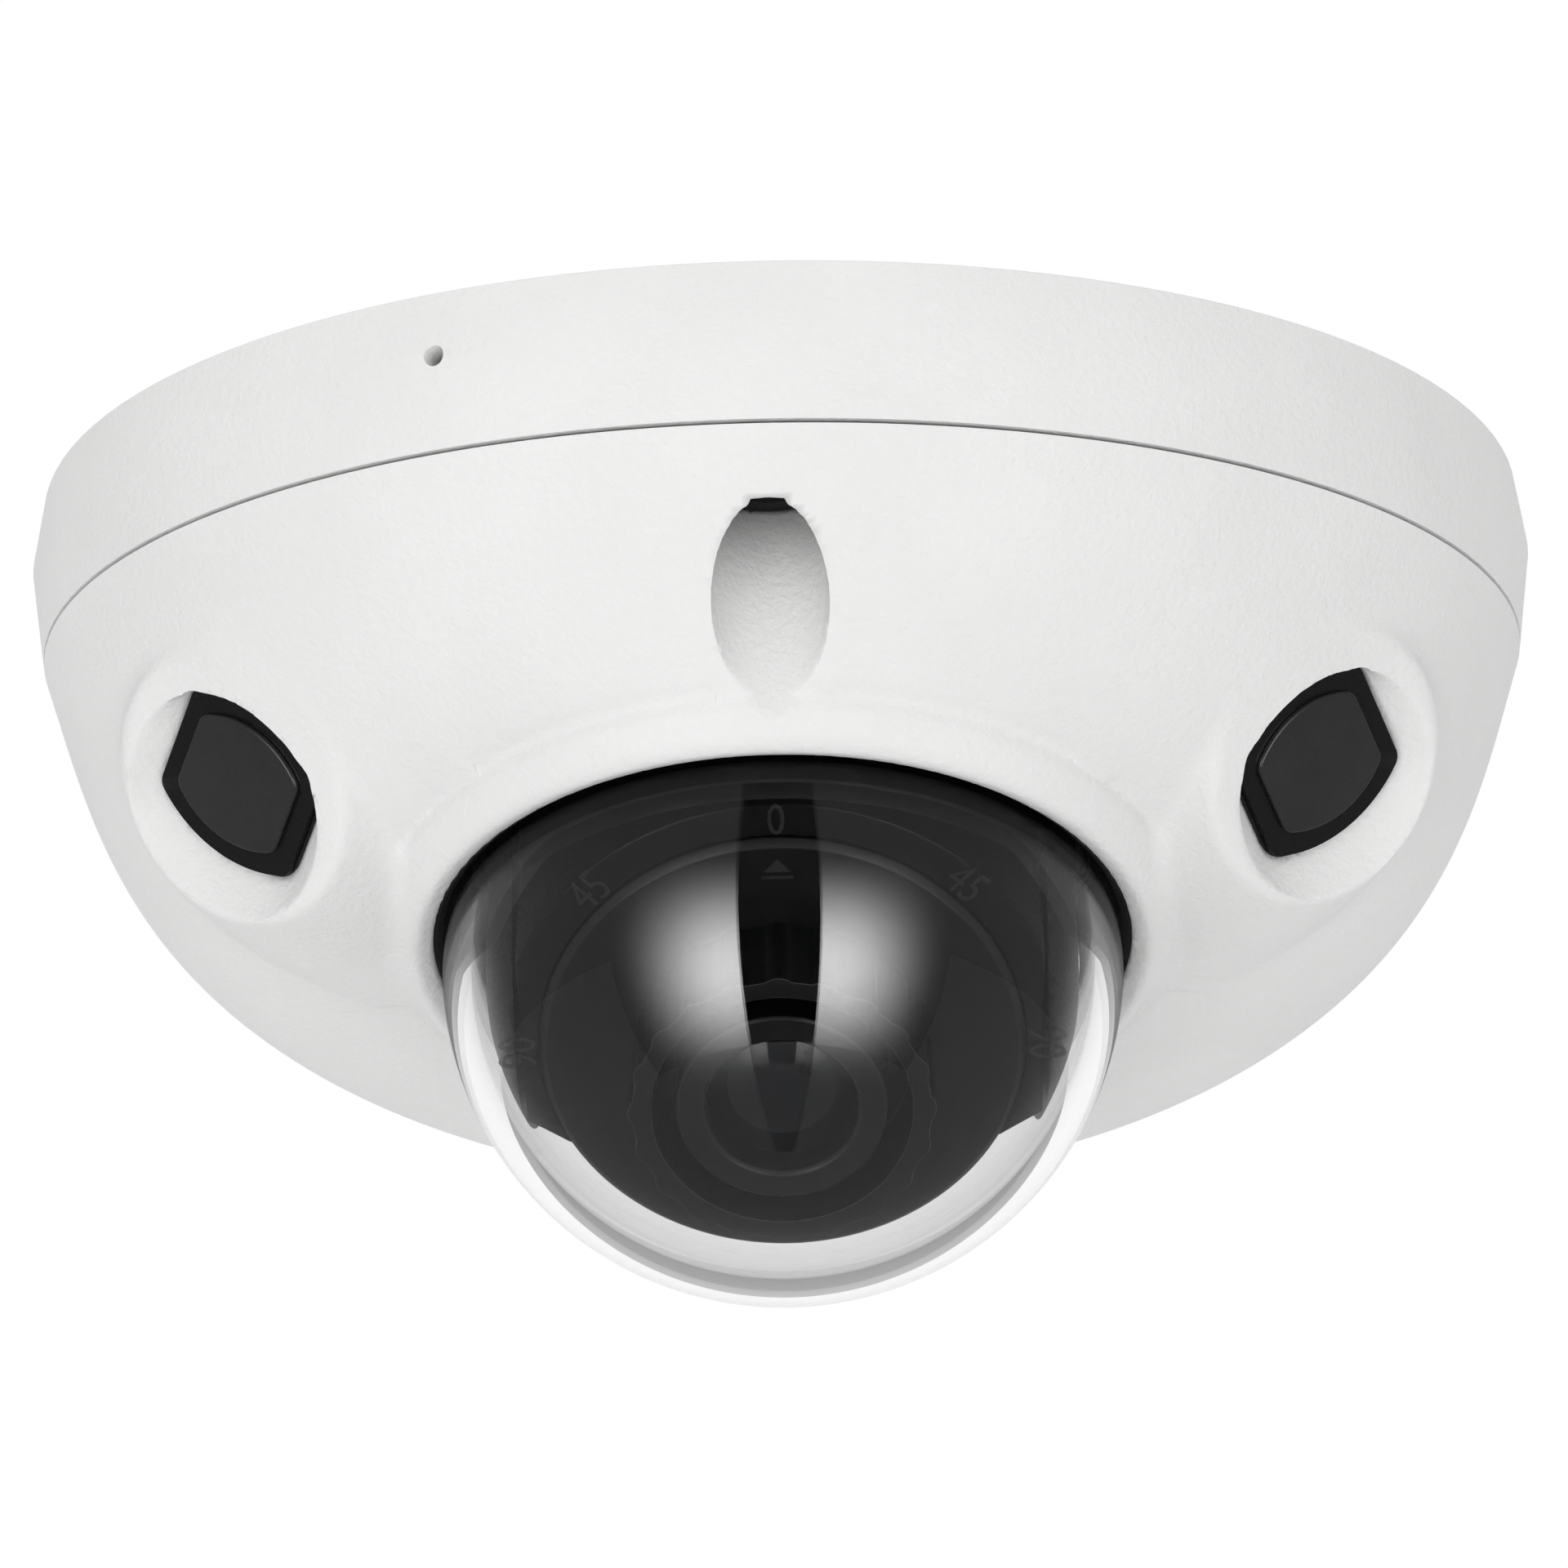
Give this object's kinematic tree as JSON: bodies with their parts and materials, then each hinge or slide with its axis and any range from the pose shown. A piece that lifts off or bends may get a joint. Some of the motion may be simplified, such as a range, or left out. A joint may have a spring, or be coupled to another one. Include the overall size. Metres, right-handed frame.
{
  "type": "dome cctv camera",
  "caption": "Compact dome camera for a ceiling or wall: round base, slanted cover, clear dome, infrared windows and a three-axis lens gimbal.",
  "frame": {"origin": "centre of the flat mounting face of the base", "axes": "+Z out of the mounting face towards the ceiling, -Y the front that the dome leans to, +X the right side seen from behind the camera's front"},
  "size_m": [0.11, 0.11, 0.0637],
  "materials": {
    "white_housing": "fine textured powder coat",
    "black_rubber": "matte",
    "clear_dome": "polished clear polycarbonate",
    "plated_steel": "zinc plated",
    "black_screw": "black oxide",
    "screw_steel": "satin",
    "ir_window": "smooth smoked",
    "circuit_board": "solder mask",
    "spreader_aluminium": "milled",
    "emitter": "clear resin",
    "microphone_can": "satin",
    "chip": "moulded",
    "thermal_pad": "soft",
    "jack_shield": "tin plated",
    "terminal_plastic": "moulded",
    "card_plastic": "moulded",
    "switch_plastic": "moulded",
    "gimbal_plastic": "fine moulded grain",
    "lens_plastic": "satin",
    "lens_glass": "coated"
  },
  "bodies": {
    "housing": {"base_housing": "white_housing", "cover": "white_housing", "housing_gasket": "black_rubber", "cable_grommet": "black_rubber", "cover_screws": "black_screw", "dome_bubble": "clear_dome", "dome_gasket": "black_rubber", "dome_clamp_ring": "plated_steel", "clamp_screws": "screw_steel", "ir_window_left": "ir_window", "ir_window_right": "ir_window", "ir_window_gasket_left": "black_rubber", "ir_window_gasket_right": "black_rubber", "ir_board_left": "circuit_board", "ir_board_right": "circuit_board", "ir_heat_spreader_left": "spreader_aluminium", "ir_heat_spreader_right": "spreader_aluminium", "ir_emitters_left": "emitter", "ir_emitters_right": "emitter", "microphone": "microphone_can", "microphone_boot": "black_rubber", "main_board": "circuit_board", "processor": "chip", "thermal_pad": "thermal_pad", "network_jack": "jack_shield", "power_terminal": "terminal_plastic", "memory_card_socket": "jack_shield", "memory_card": "card_plastic", "reset_switch": "switch_plastic", "gimbal_plate": "plated_steel", "gimbal_screws": "screw_steel"},
    "pan": {"pan_yoke": "gimbal_plastic", "pan_retaining_ring": "gimbal_plastic"},
    "tilt": {"tilt_housing": "gimbal_plastic", "pivot_pins": "screw_steel"},
    "turret": {"turret_shell": "gimbal_plastic", "turret_rear_cover": "gimbal_plastic", "turret_retaining_ring": "gimbal_plastic", "lens_hood": "lens_plastic", "lens_barrel": "lens_plastic", "front_lens": "lens_glass", "sensor_board": "circuit_board", "lens_mount": "lens_plastic", "image_sensor": "chip"},
    "button": {"reset_button": "switch_plastic"}
  },
  "joints": [
    {"name": "pan_joint", "type": "hinge", "parent": "housing", "child": "pan", "pos_m": [0, -0.0173, -0.0396], "axis": [0, -0.2689, -0.9632], "range_deg": [-30, 30]},
    {"name": "tilt_joint", "type": "hinge", "parent": "pan", "child": "tilt", "pos_m": [0, -0.0173, -0.0396], "axis": [1, 0, 0], "range_deg": [-32.5, 42.5]},
    {"name": "turret_joint", "type": "hinge", "parent": "tilt", "child": "turret", "pos_m": [0, -0.0173, -0.0396], "axis": [0, -0.6756, -0.7373], "range_deg": [-90, 90]},
    {"name": "reset_button_joint", "type": "slide", "parent": "housing", "child": "button", "axis": [0, 0, 1], "range_m": [0, 0.0003], "stiffness_N_per_m": 1500, "springref_m": -0.0002}
  ]
}
